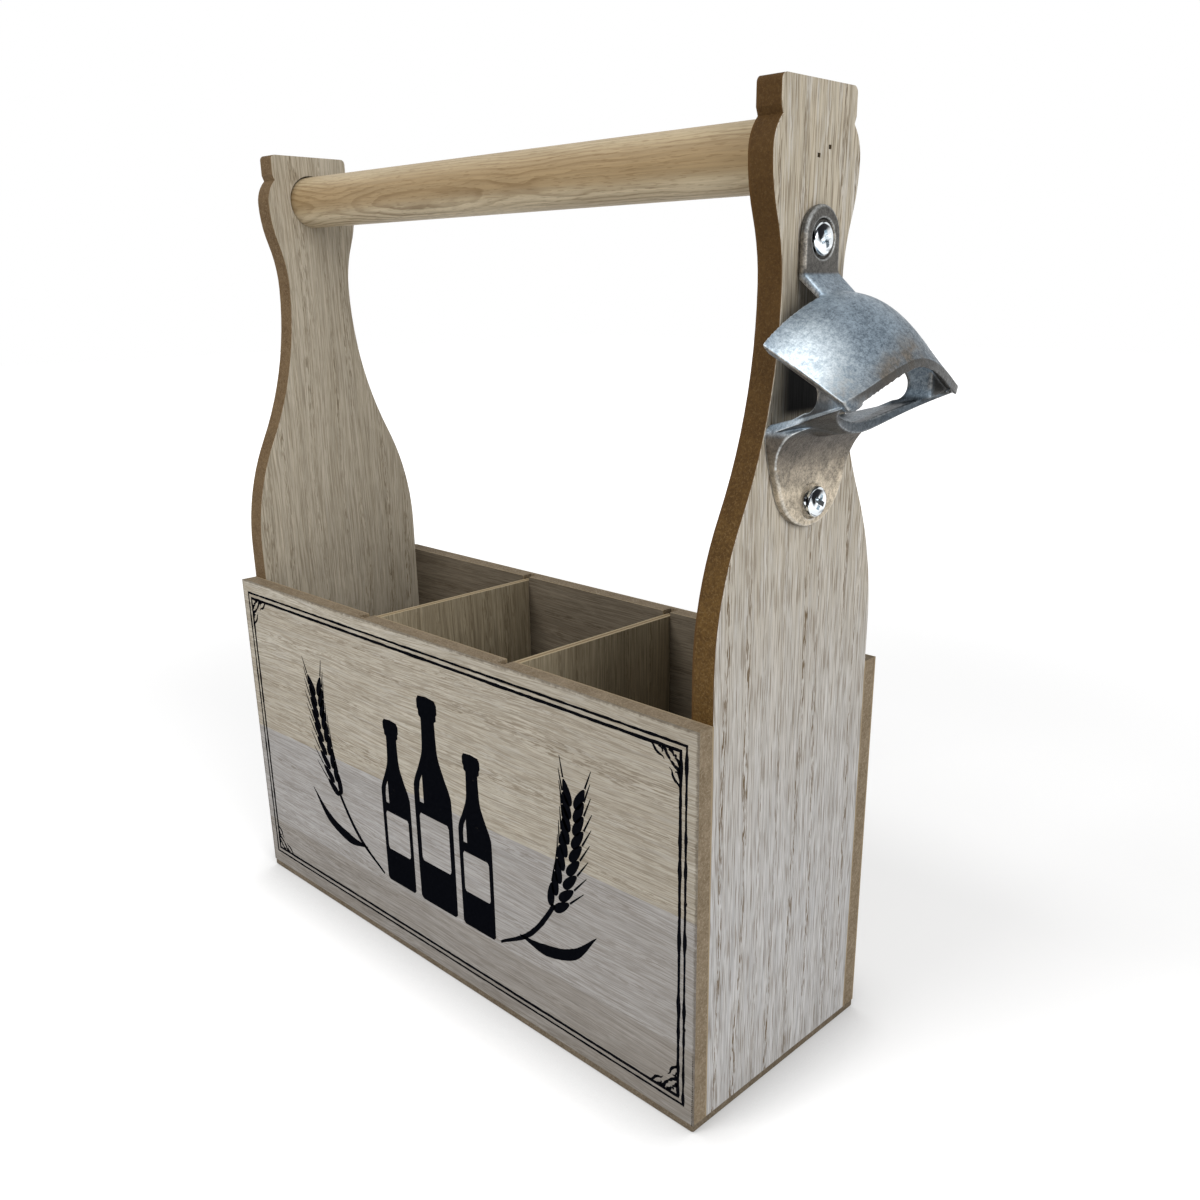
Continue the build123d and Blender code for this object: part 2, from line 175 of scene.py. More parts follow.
def makeVeneerGroup():
    # straight-grained veneer with open pores; the grain runs along the vector's X
    tree, take, give = newGroup("veneerGrain", {
        "Vector": "v", "Seed": "f", "Ground": "c", "Shade": "c", "Pore": "c", "Chalk": "c", "Figure": "f",
        "Pores": "f", "Pore Length": "f", "Hairs": "f", "Chalked": "f", "Ring Gap": "f", "Column": "f",
        "Between": "f", "Drift": "f",
    }, {"Color": "c", "Height": "f", "Roughness": "f"})
    shift = join(tree, x=times(tree, take["Seed"], 131.0), z=take["Seed"])
    moved = vectorMath(tree, "ADD", inMillimetres(tree, take["Vector"]), shift)
    # the grain lines drift a little sideways
    drift = drawnOut(tree, moved, (0.01, 0.03, 0.05), 1.0)
    sideways = times(tree, minus(tree, drift, 0.5), times(tree, take["Drift"], 4.0))
    line = vectorMath(tree, "ADD", moved, join(tree, y=sideways))
    # pores crowd into bands, one to each ring
    uneven = drawnOut(tree, line, (0.004, 0.09, 0.02), offset=(9, 4, 7))
    rings = calc(tree, "DIVIDE", split(tree, line)["Y"], take["Ring Gap"])
    tooth = calc(tree, "FRACT", plus(tree, rings, times(tree, uneven, 1.6)))
    early = fall(tree, tooth, take["Column"], plus(tree, take["Column"], 0.16))
    nearRing = most(tree, early, take["Between"])
    figure = spread(tree, drawnOut(tree, line, (0.006, 0.1, 0.1), 3.0, 0.55), 0.34, 0.68)
    streak = spread(tree, drawnOut(tree, line, (0.014, 0.8, 0.5), 4.0, 0.7), 0.38, 0.62)
    fibre = drawnOut(tree, line, (0.035, 2.0, 1.2), 3.0, 0.65, (1, 3, 2))
    reach = calc(tree, "DIVIDE", 1.0, take["Pore Length"])
    dashAt = vectorMath(tree, "MULTIPLY", line, join(tree, reach, 2.0, 1.2))
    dash = spread(tree, noise(tree, dashAt, 1.0, 2.0, 0.6), 0.5, 0.6)
    crowd = drawnOut(tree, line, (0.012, 0.22, 0.2), offset=(40, 11, 3))
    pore = times(tree, spread(tree, crowd, 0.36, 0.6, 0.35, 1.0), nearRing, dash)
    hairAt = vectorMath(tree, "MULTIPLY", line, join(tree, times(tree, reach, 0.45), 2.3, 1.5))
    hair = spread(tree, noise(tree, hairAt, 1.0, 1.0, 0.4), 0.53, 0.62)
    dark = most(tree, times(tree, pore, take["Pores"]), times(tree, hair, take["Hairs"]))
    shade = calc(tree, "ADD", times(tree, figure, take["Figure"]), times(tree, streak, 0.35), clamp=True)
    base = blend(tree, shade, take["Ground"], take["Shade"])
    base = vectorMath(tree, "SCALE", base, spread(tree, fibre, 0.32, 0.68, 0.82, 1.17))
    chalk = spread(tree, drawnOut(tree, line, (0.05, 0.5, 0.4), 4.0, 0.7, (7, 2, 9)), 0.5, 0.64)
    base = blend(tree, times(tree, chalk, take["Chalked"]), base, take["Chalk"])
    plug(tree, give["Color"], blend(tree, dark, base, take["Pore"]))
    plug(tree, give["Height"], minus(tree, times(tree, fibre, 0.6), dark))
    plug(tree, give["Roughness"], spread(tree, streak, 0.0, 1.0, 0.66, 0.8))
    return tree


def makeFibreGroup():
    # the cut edge of fibreboard: felted brown with paler and darker specks
    tree, take, give = newGroup("fibreBoard", {
        "Vector": "v", "Ground": "c", "Shade": "c", "Speck": "c", "Specks": "f",
    }, {"Color": "c", "Height": "f"})
    spot = inMillimetres(tree, take["Vector"])
    cloud = spread(tree, noise(tree, spot, 0.12, 3.0, 0.6), 0.35, 0.65)
    felt = spread(tree, noise(tree, spot, 0.9, 4.0, 0.75), 0.42, 0.58)
    grit = spread(tree, noise(tree, spot, 1.5, 3.0, 0.7), 0.53, 0.63)
    mixed = plus(tree, times(tree, cloud, 0.45), times(tree, felt, 0.55))
    base = blend(tree, mixed, take["Ground"], take["Shade"])
    plug(tree, give["Color"], blend(tree, times(tree, grit, take["Specks"]), base, take["Speck"]))
    plug(tree, give["Height"], felt)
    return tree


def makeScuffGroup():
    # patches where a surface is rubbed; more of them where Amount is larger
    tree, take, give = newGroup("rubbedPatches", {
        "Vector": "v", "Size": "f", "Amount": "f", "Seed": "f",
    }, {"Mask": "f"})
    shift = join(tree, take["Seed"], take["Seed"])
    spot = vectorMath(tree, "ADD", inMillimetres(tree, take["Vector"]), shift)
    coarse = noise(tree, spot, calc(tree, "DIVIDE", 1.0, take["Size"]), 3.0, 0.65)
    fine = noise(tree, spot, calc(tree, "DIVIDE", 5.0, take["Size"]), 2.0, 0.6)
    both = plus(tree, times(tree, coarse, 0.65), times(tree, fine, 0.35))
    edge = minus(tree, 0.72, times(tree, take["Amount"], 0.3))
    plug(tree, give["Mask"], spread(tree, both, edge, plus(tree, edge, 0.06)))
    return tree


veneerGrain = makeVeneerGroup()
fibreBoard = makeFibreGroup()
rubbedPatches = makeScuffGroup()
print("shared effects made")


def useGroup(tree, group, inputs):
    return put(tree, "ShaderNodeGroup", inputs, node_tree=group).outputs


def emptyTree(owner):
    owner.use_nodes = True
    owner.node_tree.nodes.clear()
    return owner.node_tree


def newMaterial(name, gloss=0.16):
    material = bpy.data.materials.new(name)
    tree = emptyTree(material)
    shader = put(tree, "ShaderNodeBsdfPrincipled", {"Specular IOR Level": gloss})
    put(tree, "ShaderNodeOutputMaterial", {"Surface": shader.outputs["BSDF"]})
    return material, tree, shader


def coat(tree, shader, colour, roughness, metallic=0.0):
    for name, value in (("Base Color", colour), ("Roughness", roughness), ("Metallic", metallic)):
        plug(tree, shader.inputs[name], value)


def bump(tree, shader, height, strength, distance=0.0002):
    node = put(tree, "ShaderNodeBump", {"Height": height, "Strength": strength, "Distance": distance})
    plug(tree, shader.inputs["Normal"], node.outputs["Normal"])


def place(tree):
    return put(tree, "ShaderNodeTexCoord").outputs["Object"]


def facing(tree):
    return put(tree, "ShaderNodeNewGeometry").outputs["Normal"]


def isFlat(tree, axis):
    # 1 where the surface looks along the axis, either way
    return spread(tree, unsigned(tree, split(tree, facing(tree))[axis]), 0.6, 0.8)


def turned(tree, vector, order):
    # swaps the axes, so that a grain made along X runs along another one
    parts = split(tree, vector)
    return join(tree, *(parts[axis] for axis in order))


frontVeneer = {
    # three strips of veneer laid edge to edge, from the top
    "strips": [
        {"Seed": 3.0, "Ground": paint(185, 178, 164), "Shade": paint(153, 143, 127),
         "Pore": paint(112, 98, 78), "Figure": 0.3, "Pores": 0.7, "Hairs": 0.45, "Chalked": 0.15,
         "Ring Gap": 15.0},
        {"Seed": 17.0, "Ground": paint(169, 166, 164), "Shade": paint(146, 142, 137),
         "Pore": paint(112, 103, 93), "Figure": 0.3, "Pores": 0.6, "Hairs": 0.4, "Chalked": 0.22,
         "Ring Gap": 13.0},
        {"Seed": 29.0, "Ground": paint(152, 147, 142), "Shade": paint(132, 126, 118),
         "Pore": paint(98, 89, 78), "Figure": 0.35, "Pores": 0.5, "Hairs": 0.35, "Chalked": 0.12,
         "Ring Gap": 16.0},
    ],
    "shared": {"Chalk": paint(198, 197, 195), "Pore Length": 6.0, "Column": 0.3, "Between": 0.5,
               "Drift": 2.0},
    "seams": [(73.0, 0.0223), (27.6, 0.0194)],    # height at the middle in mm, and rise along X, from the top
    "duller": paint(120, 112, 100), "dullness": 0.23, "dullFrom": (-0.02, 0.13),    # to the right
    "dirt": paint(70, 58, 40), "dirtiness": 0.6, "ragged": 0.0026,    # along the edges
    "halfLength": 0.127, "rim": 0.1365,           # where the ends and the rim are, in metres
}


def makeFrontVeneer():
    material, tree, shader = newMaterial("frontVeneer")
    spot = place(tree)
    along = turned(tree, spot, "XZY")
    x, _, z = split(tree, spot)
    looks = [useGroup(tree, veneerGrain, {"Vector": along, **strip, **frontVeneer["shared"]})
             for strip in frontVeneer["strips"]]
    masks = []
    for height, rise in frontVeneer["seams"]:
        line = plus(tree, times(tree, x, rise), height * mm)
        masks.append(spread(tree, minus(tree, z, line), -0.00015, 0.00015))
    lower = blend(tree, masks[1], looks[2]["Color"], looks[1]["Color"])
    full = blend(tree, masks[0], lower, looks[0]["Color"])
    rightward = times(tree, spread(tree, x, *frontVeneer["dullFrom"]), frontVeneer["dullness"])
    full = blend(tree, rightward, full, frontVeneer["duller"])
    # handling has darkened a ragged margin next to the front's ends, rim and foot
    wobble = times(tree, noise(tree, inMillimetres(tree, spot), 0.5, 3.0, 0.7), frontVeneer["ragged"])
    fromEnd = minus(tree, frontVeneer["halfLength"], unsigned(tree, x))
    fromRim = minus(tree, frontVeneer["rim"], z)
    margin = minus(tree, calc(tree, "MINIMUM", fromEnd, fromRim, z), wobble)
    dirty = spread(tree, margin, -0.0014, -0.0002, frontVeneer["dirtiness"], 0.0)
    coat(tree, shader, blend(tree, dirty, full, frontVeneer["dirt"]), looks[0]["Roughness"])
    bump(tree, shader, looks[0]["Height"], 0.2)
    return material


sideVeneer = {
    "groundTop": paint(186, 177, 160), "groundFoot": paint(188, 187, 187),   # whiter towards the foot
    "shadeTop": paint(162, 149, 127), "shadeFoot": paint(168, 164, 159),
    "fade": (0.05, 0.25),                    # heights in metres, from the foot's colours to the top's
    "grain": {"Seed": 41.0, "Pore": paint(104, 88, 66), "Chalk": paint(212, 211, 209), "Figure": 0.2,
              "Pores": 1.0, "Pore Length": 6.0, "Hairs": 0.55, "Chalked": 0.35, "Ring Gap": 9.5,
              "Column": 0.16, "Between": 0.12, "Drift": 0.8},
    "face": 0.127, "paleLine": 0.0003,       # the outer face, and the pale edge next to it, in metres
    "stain": {"left": paint(104, 84, 56), "right": paint(86, 62, 32)},       # on the cut edges
    # painted shade: the hollow behind the opener is painted nearly black, as its shadow; and where it starts
    # and ends going up and across, in metres
    "paintedShade": paint(13, 12, 11),
    "paintedShadeUp": [(0.2175, 0.2215), (0.234, 0.272)], "paintedShadeAcross": [(-0.0168, -0.0085), (0.014, 0.024)],
}


def makeEndOuterVeneer(side):
    material, tree, shader = newMaterial(side + "OuterVeneer")
    spot = place(tree)
    x, y, z = split(tree, spot)
    fade = spread(tree, z, *sideVeneer["fade"])
    look = useGroup(tree, veneerGrain, {
        "Vector": turned(tree, spot, "ZYX"), **sideVeneer["grain"],
        "Ground": blend(tree, fade, sideVeneer["groundFoot"], sideVeneer["groundTop"]),
        "Shade": blend(tree, fade, sideVeneer["shadeFoot"], sideVeneer["shadeTop"])})
    colour, kept = look["Color"], isFlat(tree, "X")
    if side == "right":
        # painted shade: the hollow between the casting and the board is painted nearly black, standing in for
        # its shadow
        hollow = times(tree, band(tree, z, *sideVeneer["paintedShadeUp"]), band(tree, y, *sideVeneer["paintedShadeAcross"]),
                       spread(tree, x, 0.1265, 0.1269))
        colour = blend(tree, hollow, colour, sideVeneer["paintedShade"])
        pale = sideVeneer["face"] - sideVeneer["paleLine"]
        kept = most(tree, kept, spread(tree, unsigned(tree, x), pale, pale + 0.0001))
    coat(tree, shader, blend(tree, kept, sideVeneer["stain"][side], colour), look["Roughness"])
    bump(tree, shader, look["Height"], 0.25)
    return material


plainVeneers = {
    "grain": {"Figure": 0.35, "Pore Length": 6.0, "Hairs": 0.4, "Chalked": 0.2, "Ring Gap": 10.0,
              "Column": 0.25, "Between": 0.3, "Drift": 1.5},
    # which way the grain runs, seed, pores, and the colours of ground, shade, pores and cut edges
    "kinds": {
        "leftInnerVeneer": ("ZYX", 53.0, 0.8, (192, 182, 164), (158, 147, 127), (108, 93, 70), (104, 84, 56)),
        "rightInnerVeneer": ("ZYX", 57.0, 0.7, (168, 158, 140), (138, 127, 108), (98, 84, 62), (78, 54, 24)),
        # the walls' inner veneer is darker partly in its own tone and partly as painted shade inside the
        # cells
        "wallInnerVeneer": ("XZY", 67.0, 0.7, (120, 110, 95), (92, 81, 66), (66, 55, 40), (150, 134, 108)),
        "backOuterVeneer": ("XZY", 71.0, 0.7, (182, 174, 158), (150, 139, 121), (110, 94, 70),
                            (150, 134, 108)),
    },
}


def makePlainVeneer(name):
    order, seed, pores, *colours = plainVeneers["kinds"][name]
    ground, shade, pore, stain = (paint(*colour) for colour in colours)
    material, tree, shader = newMaterial(name)
    look = useGroup(tree, veneerGrain, {
        "Vector": turned(tree, place(tree), order), "Seed": seed, "Pores": pores, "Ground": ground,
        "Shade": shade, "Pore": pore, "Chalk": ground, **plainVeneers["grain"]})
    flat = isFlat(tree, "X" if order == "ZYX" else "Y")
    coat(tree, shader, blend(tree, flat, stain, look["Color"]), look["Roughness"])
    bump(tree, shader, look["Height"], 0.2)
    return material


boards = {
    # colours of ground, shade, specks and rubbed patches; specks, and the patches' size in mm and amount
    "wallCore": ((138, 123, 102), (112, 97, 76), (168, 155, 134), (176, 166, 148), 0.4, 4.0, 0.2),
    "rightEndCore": ((94, 69, 32), (66, 44, 12), (132, 107, 70), (146, 128, 100), 0.35, 5.0, 0.06),
    "leftEndCore": ((106, 86, 60), (84, 64, 40), (140, 120, 92), (160, 144, 118), 0.4, 5.0, 0.12),
    "baseBoard": ((116, 104, 88), (90, 78, 62), (150, 138, 118), (164, 153, 134), 0.4, 5.0, 0.15),
}
# the right end's edges darken towards the top; heights in metres
topStain = {"colour": paint(62, 40, 12), "from": 0.16, "to": 0.27, "depth": 0.6}


def makeBoard(name):
    *colours, specks, size, amount = boards[name]
    ground, shade, speck, rubbed = (paint(*colour) for colour in colours)
    material, tree, shader = newMaterial(name)
    spot = place(tree)
    look = useGroup(tree, fibreBoard, {
        "Vector": spot, "Ground": ground, "Shade": shade, "Speck": speck, "Specks": specks})
    colour = look["Color"]
    if name == "rightEndCore":
        height = split(tree, spot)["Z"]
        stained = spread(tree, height, topStain["from"], topStain["to"], 0.0, topStain["depth"])
        colour = blend(tree, stained, colour, topStain["colour"])
    worn = useGroup(tree, rubbedPatches, {"Vector": spot, "Seed": len(name), "Size": size, "Amount": amount})
    coat(tree, shader, blend(tree, worn["Mask"], colour, rubbed), 0.72)
    bump(tree, shader, look["Height"], 0.3, 0.0003)
    return material


dividerPly = {
    "grain": {"Seed": 83.0, "Ground": paint(176, 163, 138), "Shade": paint(144, 131, 108),
              "Pore": paint(104, 90, 66), "Chalk": paint(176, 163, 138), "Figure": 0.45, "Pores": 0.7,
              "Pore Length": 6.0, "Hairs": 0.4, "Chalked": 0.1, "Ring Gap": 12.0, "Column": 0.25,
              "Between": 0.3, "Drift": 1.5},
    "outerPlies": paint(172, 156, 126), "middlePly": paint(132, 112, 84),
    "fromCentre": 0.0401, "halfPly": 0.00045,    # a divider's middle, and half its middle ply, in metres
}


def makeDividerPly():
    # thin plywood: veneered faces, and three plies that show on the edges
    material, tree, shader = newMaterial("dividerPly")
    spot = place(tree)
    face = useGroup(tree, veneerGrain, {"Vector": turned(tree, spot, "ZYX"), **dividerPly["grain"]})
    fromCentre = unsigned(tree, split(tree, spot)["X"])
    fromMiddle = unsigned(tree, minus(tree, fromCentre, dividerPly["fromCentre"]))
    outer = spread(tree, fromMiddle, dividerPly["halfPly"], dividerPly["halfPly"] + 0.00015)
    edge = blend(tree, outer, dividerPly["middlePly"], dividerPly["outerPlies"])
    coat(tree, shader, blend(tree, isFlat(tree, "X"), edge, face["Color"]), 0.7)
    bump(tree, shader, face["Height"], 0.2)
    return material


dowelWood = {
    # painted light: light is the top's colour, lit from above, and the underside's colour is painted light
    # thrown up from the floor
    "light": paint(186, 169, 138), "mid": paint(150, 127, 92), "dark": paint(112, 87, 54),
    "paintedUnderLight": paint(212, 196, 166),
    "axis": 287.0,             # height of the rod's middle in mm
    "ringGap": 1.5,            # mm between growth rings
    "heart": (-26.0, -9.0),    # how far off the rod's axis the tree's heart lies, in mm
}


def makeDowelWood():
    # rings round a heart outside the rod, cut lengthwise into long flames
    material, tree, shader = newMaterial("dowelWood", 0.2)
    big = inMillimetres(tree, place(tree))
    wander = drawnOut(tree, big, (0.011, 0.012, 0.012), 1.0, 0.4, (2.2, 0, 0))
    ripple = drawnOut(tree, big, (0.05, 0.22, 0.22))
    _, across, up = split(tree, big)
    level = minus(tree, up, dowelWood["axis"])
    a = minus(tree, across, dowelWood["heart"][0])
    b = minus(tree, level, dowelWood["heart"][1])
    away = calc(tree, "SQRT", plus(tree, times(tree, a, a), times(tree, b, b)))
    away = plus(tree, times(tree, wander, 18.0), times(tree, ripple, 2.0), away)
    tooth = calc(tree, "FRACT", calc(tree, "DIVIDE", away, dowelWood["ringGap"]))
    ring = band(tree, tooth, (0.35, 0.85), (0.88, 1.0))
    clear = spread(tree, drawnOut(tree, big, (0.015, 0.1, 0.1), offset=(5, 1, 2)), 0.35, 0.65, 0.2, 1.0)
    silk = spread(tree, drawnOut(tree, big, (0.03, 1.3, 1.3), 3.0, 0.6), 0.35, 0.65)
    blotch = spread(tree, drawnOut(tree, big, (0.02, 0.12, 0.12)), 0.35, 0.65)
    fleck = spread(tree, drawnOut(tree, big, (0.2, 2.4, 2.4), 1.0), 0.58, 0.66)
    # painted light: paler along the top, where the light falls, and underneath, where light comes up from the
    # floor; browner between
    pale = blend(tree, spread(tree, level, -7.0, -3.0), dowelWood["paintedUnderLight"], dowelWood["light"])
    belly = times(tree, band(tree, level, (-7.0, -2.0), (2.0, 8.0)), 0.9)
    base = blend(tree, belly, pale, dowelWood["mid"])
    base = blend(tree, times(tree, blotch, 0.3), base, dowelWood["mid"])
    base = vectorMath(tree, "SCALE", base, spread(tree, silk, 0.0, 1.0, 1.05, 0.92))
    base = blend(tree, times(tree, ring, clear, 0.6), base, dowelWood["dark"])
    base = blend(tree, times(tree, fleck, 0.35), base, dowelWood["dark"])
    coat(tree, shader, base, 0.5)
    bump(tree, shader, silk, 0.08)
    return material


casting = {
    "hoodDark": paint(70, 82, 93), "hoodLight": paint(138, 153, 165),
    "flankHighlightDark": paint(136, 152, 164), "flankHighlightLight": paint(220, 229, 234),    # the near flank: a painted highlight, on metal also rubbed bright
    "plateDark": paint(84, 76, 66), "plateLight": paint(196, 183, 162),
    "tabDark": paint(46, 44, 41), "tabLight": paint(92, 89, 84),
    "lip": paint(52, 48, 42), "brown": paint(108, 96, 80), "taupe": paint(176, 166, 152),
    # hollow is the dark of patina in creases and of painted shade under the hood and on undersides
    "bright": paint(226, 230, 230), "hollow": paint(24, 22, 20),
    # where each look starts and ends in mm; the last letter says along which axis
    "zones": {
        "flankY": (-27.0, -12.0), "flankX": (131.0, 142.0), "flankFadeX": (149.0, 158.0),
        "farY": (-6.0, 24.0), "rootX": (131.0, 141.0), "webY": (0.0, 5.0), "webZ": (219.0, 222.0),
        "neckZ": (246.0, 252.0), "cupZ": (223.0, 225.0), "cupX": (139.0, 143.0),
        "crestX": (154.5, 160.0), "crestY": (0.0, 8.0), "cornerX": (148.0, 156.0), "cornerY": (18.0, 26.0),
        "lipX": (153.0, 154.0), "lipZ": (226.0, 229.0), "farLipY": (18.0, 21.0), "farLipZ": (223.5, 225.0),
        "paleZ": (196.0, 212.0), "plateZ": (214.5, 218.5), "plateX": (138.5, 140.5), "tabZ": (256.0, 257.0),
        "innerY": (11.0, 14.0), "innerZ": (231.0, 233.0), "cutSideZ": (225.0, 227.0),
        "caveX": (149.0, 155.0), "caveY": (8.0, 14.0),
        "caveFootZ": (219.0, 221.0), "caveRoofZ": (233.0, 236.0),
    },
}


def makeCastZinc():
    # plated casting, darkened and brushed back: blue-grey above, browner on the plate and the tab
    material, tree, shader = newMaterial("castZinc", 0.4)
    big = inMillimetres(tree, place(tree))
    here = split(tree, big)
    _, outY, outZ = split(tree, facing(tree))
    proud = put(tree, "ShaderNodeAttribute", attribute_name="standsOut").outputs["Fac"]

    def over(zone, start=0.0, end=1.0):
        return spread(tree, here[zone[-1]], *casting["zones"][zone], start, end)

    cloud = spread(tree, noise(tree, big, 0.14, 3.0, 0.6), 0.36, 0.64)
    mottle = spread(tree, noise(tree, big, 0.75, 4.0, 0.7), 0.36, 0.64)
    grit = spread(tree, noise(tree, big, 2.2, 2.0, 0.6), 0.38, 0.62)
    tone = plus(tree, times(tree, mottle, 0.45), times(tree, grit, 0.3), times(tree, cloud, 0.25))
    hood = blend(tree, tone, casting["hoodDark"], casting["hoodLight"])
    # painted highlight on the flank towards negative Y, which is brightest, and painted shade on the other
    # one, which is dull
    flankHighlight = times(tree, over("flankY", 1.0, 0.0), over("flankX"), spread(tree, outZ, 0.3, 0.6),
                  over("flankFadeX", 1.0, 0.45))
    rubbed = blend(tree, tone, casting["flankHighlightDark"], casting["flankHighlightLight"])
    hood = blend(tree, flankHighlight, hood, rubbed)
    # painted shade: the far side, towards positive Y, is darkened where it faces up
    dull = times(tree, spread(tree, outZ, 0.0, 0.3), over("farY", 0.0, 0.3))
    hood = vectorMath(tree, "SCALE", hood, minus(tree, over("rootX", 0.95, 1.0), dull))
    # painted light: what looks to the near side, towards the lamps, is painted lighter, but for the web under
    # the hood, which lies in shade
    web = times(tree, fall(tree, outZ, 0.1, 0.3), over("webY", 1.0, 0.0), over("webZ"))
    paintedNearLight = times(tree, spread(tree, outY, -0.85, -0.45, 0.7, 0.0), flip(tree, web))
    hood = vectorMath(tree, "SCALE", hood, plus(tree, paintedNearLight, 1.0))
    hood = vectorMath(tree, "SCALE", hood, over("neckZ", 1.0, 1.2))
    cup = times(tree, over("cupZ", 1.0, 0.0), over("cupX"))
    hood = vectorMath(tree, "SCALE", hood, spread(tree, cup, 0.0, 1.0, 1.0, 0.32))
    # brown at the lip's crest and in the front corners
    crest = times(tree, over("crestX"), spread(tree, cloud, 0.0, 1.0, 0.4, 0.9),
                  flip(tree, times(tree, flankHighlight, 0.45)), over("crestY", 1.0, 0.3))
    corner = spread(tree, unsigned(tree, here["Y"]), *casting["zones"]["cornerY"])
    crest = most(tree, crest, times(tree, corner, mottle, over("cornerX", 0.0, 0.5)))
    hood = blend(tree, crest, hood, blend(tree, tone, casting["lip"], casting["brown"]))
    lipFoot = most(tree, over("lipZ"), times(tree, over("farLipY"), over("farLipZ")))
    lip = times(tree, over("lipX"), lipFoot, fall(tree, outZ, 0.25, 0.45))
    hood = blend(tree, times(tree, lip, 0.85), hood, casting["lip"])
    low = blend(tree, over("paleZ", 1.0, 0.0), casting["plateDark"], casting["plateLight"])
    blotch = plus(tree, times(tree, cloud, 0.15), times(tree, tone, 0.85))
    dim, lit = (vectorMath(tree, "SCALE", low, k) for k in (0.36, 1.4))
    plate = blend(tree, blotch, dim, lit)
    isPlate = times(tree, over("plateZ", 1.0, 0.0), over("plateX", 1.0, 0.0))
    tab = blend(tree, tone, casting["tabDark"], casting["tabLight"])
    colour = blend(tree, over("tabZ"), blend(tree, isPlate, hood, plate), tab)
    # edges are rubbed bright, less so on the lip, in the cup and inside
    covered = most(tree, crest, lip, times(tree, cup, 0.6))
    inner = times(tree, over("innerY"), over("innerZ", 1.0, 0.0))
    ridge = times(tree, spread(tree, proud, 0.035, 0.12), spread(tree, mottle, 0.0, 1.0, 0.35, 0.9),
                  flip(tree, covered), flip(tree, times(tree, inner, 0.8)))
    colour = blend(tree, ridge, colour, casting["bright"])
    # hollows stay dark: patina in the creases, and painted shade in the deep one under the hood, where its
    # shadow falls
    paintedCaveShade = times(tree, over("caveFootZ"), over("caveRoofZ", 1.0, 0.0), over("caveX", 1.0, 0.0),
                 spread(tree, outZ, 0.2, 0.5, 0.85, 0.0), over("caveY", 1.0, 0.05))
    hollow = most(tree, spread(tree, proud, -0.18, -0.07, 0.8, 0.0), paintedCaveShade)
    colour = blend(tree, hollow, colour, casting["hollow"])
    # the hood's cut side, then the undersides, which keep their patina and are painted darker as painted
    # shade where they face down
    cutSide = times(tree, fall(tree, outZ, -0.1, 0.2), fall(tree, outY, -0.6, -0.3), over("cutSideZ"),
                    spread(tree, proud, -0.02, 0.03), 0.75)
    colour = blend(tree, cutSide, colour, blend(tree, tone, casting["lip"], casting["taupe"]))
    colour = blend(tree, spread(tree, outZ, -0.9, -0.6, 0.75, 0.0), colour, casting["hollow"])
    coat(tree, shader, colour, spread(tree, tone, 0.0, 1.0, 0.5, 0.34), 0.4)
    bump(tree, shader, plus(tree, mottle, grit), 0.2)
    return material


def haze(tree):
    return spread(tree, noise(tree, inMillimetres(tree, place(tree)), 1.7, 3.0, 0.6), 0.35, 0.65)


# painted reflection: the light and dark colours stand in for what the plating reflects
chrome = {"light": paint(232, 238, 242), "dark": paint(34, 35, 38), "reflectionSweep": 1.7}


def makeChrome():
    # polished plating with painted reflections: bright and nearly black by turns as the surface turns
    material, tree, shader = newMaterial("brightChrome", 0.5)
    turn = stretch(tree, facing(tree), (1.2, 1.0, 1.0), (4.1, 2.6, 1.3))
    paintedReflection = spread(tree, noise(tree, turn, chrome["reflectionSweep"], 1.0, 0.4), 0.41, 0.51)
    colour = blend(tree, paintedReflection, chrome["dark"], chrome["light"])
    coat(tree, shader, colour, spread(tree, haze(tree), 0.0, 1.0, 0.07, 0.16), 1.0)
    return material


bradSteel = {"clean": paint(96, 88, 76), "dull": paint(60, 52, 42)}


def makeBradSteel():
    material, tree, shader = newMaterial("bradSteel", 0.4)
    coat(tree, shader, blend(tree, haze(tree), bradSteel["dull"], bradSteel["clean"]), 0.45, 0.8)
    return material


ink = {"black": paint(5, 6, 9), "thin": paint(14, 15, 20), "skipped": paint(104, 95, 82)}


def makeInk():
    # screen-printed ink that skips where the wood's pores are open
    material, tree, shader = newMaterial("printInk", 0.0)
    spot = place(tree)
    worn = useGroup(tree, rubbedPatches, {
        "Vector": stretch(tree, spot, (0.25, 1.0, 1.6)), "Size": 1.6, "Amount": 0.16, "Seed": 9.0})
    black = blend(tree, noise(tree, inMillimetres(tree, spot), 0.7, 3.0), ink["black"], ink["thin"])
    coat(tree, shader, blend(tree, times(tree, worn["Mask"], 0.6), black, ink["skipped"]), 0.6)
    return material


finishes = {
    "frontVeneer": makeFrontVeneer(), "leftOuterVeneer": makeEndOuterVeneer("left"),
    "rightOuterVeneer": makeEndOuterVeneer("right"), "dividerPly": makeDividerPly(),
    "dowelWood": makeDowelWood(), "castZinc": makeCastZinc(), "printInk": makeInk(),
    "brightChrome": makeChrome(), "bradSteel": makeBradSteel(),
}
for name in plainVeneers["kinds"]:
    finishes[name] = makePlainVeneer(name)
for name in boards:
    finishes[name] = makeBoard(name)

